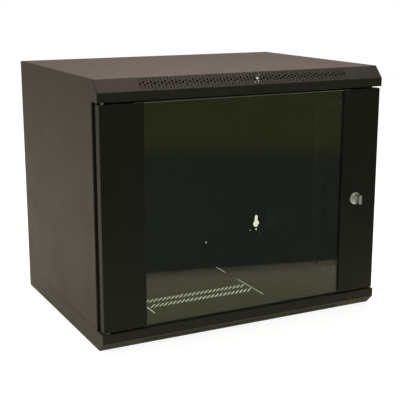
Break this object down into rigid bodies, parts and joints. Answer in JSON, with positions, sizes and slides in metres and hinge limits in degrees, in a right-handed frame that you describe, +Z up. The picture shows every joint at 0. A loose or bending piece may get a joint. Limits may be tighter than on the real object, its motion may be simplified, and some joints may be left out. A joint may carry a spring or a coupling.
{
  "type": "wall mount network cabinet",
  "caption": "Wall mount network cabinet: folded steel body with perforated chamfers, hinged tinted glass door, thumb-turn lock and depth-adjustable 19 inch rails.",
  "frame": {"origin": "centre of the 600 x 450 mm footprint, on the underside of the base pan", "axes": "+X to the right seen from in front, +Y from the door back to the wall, +Z up"},
  "size_m": [0.6, 0.4699, 0.495],
  "materials": {
    "body_powder_coat": "fine powder coat",
    "door_powder_coat": "fine powder coat",
    "inner_powder_coat": "fine powder coat",
    "tinted_glass": "polished",
    "zinc_plate": "satin",
    "lock_chrome": "polished",
    "black_rubber": "matt",
    "nylon": "matt",
    "earth_brass": "satin"
  },
  "bodies": {
    "cabinet": {"back_panel": "body_powder_coat", "bar_bolts_left": "zinc_plate", "bar_bolts_right": "zinc_plate", "bar_lower_left": "inner_powder_coat", "bar_lower_right": "inner_powder_coat", "bar_upper_left": "inner_powder_coat", "bar_upper_right": "inner_powder_coat", "base_pan": "body_powder_coat", "door_buffers": "black_rubber", "earth_nuts": "earth_brass", "earth_stud": "earth_brass", "hinge_pin_lower": "zinc_plate", "hinge_washer": "nylon", "rail_bolts_left": "zinc_plate", "rail_bolts_right": "zinc_plate", "rail_left": "inner_powder_coat", "rail_nuts_left": "zinc_plate", "rail_nuts_right": "zinc_plate", "rail_right": "inner_powder_coat", "roof_cover": "body_powder_coat", "side_panel_left": "body_powder_coat", "side_panel_right": "body_powder_coat", "standoffs_left": "inner_powder_coat", "standoffs_right": "inner_powder_coat"},
    "door": {"clamp_gasket_left": "black_rubber", "clamp_gasket_right": "black_rubber", "clamp_nuts_left": "zinc_plate", "clamp_nuts_right": "zinc_plate", "door_glass": "tinted_glass", "door_strip_left": "door_powder_coat", "door_strip_right": "door_powder_coat", "glass_tape_left": "black_rubber", "glass_tape_right": "black_rubber", "hinge_side_clamp": "zinc_plate", "lock_body": "lock_chrome", "lock_nut": "lock_chrome", "lock_side_clamp": "zinc_plate", "plunger_guide": "zinc_plate", "plunger_spring": "zinc_plate"},
    "hinge_plunger": {"hinge_plunger": "zinc_plate"},
    "lock_turn": {"lock_wing": "lock_chrome", "lock_cam": "zinc_plate", "cam_screw": "zinc_plate"}
  },
  "joints": [
    {"name": "door_hinge", "type": "hinge", "parent": "cabinet", "child": "door", "pos_m": [-0.287, -0.216, 0.2455], "axis": [0, 0, -1], "range_deg": [0, 180]},
    {"name": "plunger_slide", "type": "slide", "parent": "door", "child": "hinge_plunger", "axis": [0, 0, -1], "range_m": [0, 0.008], "stiffness_N_per_m": 300, "springref_m": -0.01, "deforming": ["plunger_spring"]},
    {"name": "lock_turn", "type": "hinge", "parent": "door", "child": "lock_turn", "pos_m": [0.2456, -0.225, 0.2335], "axis": [0, -1, 0], "range_deg": [0, 90]}
  ]
}
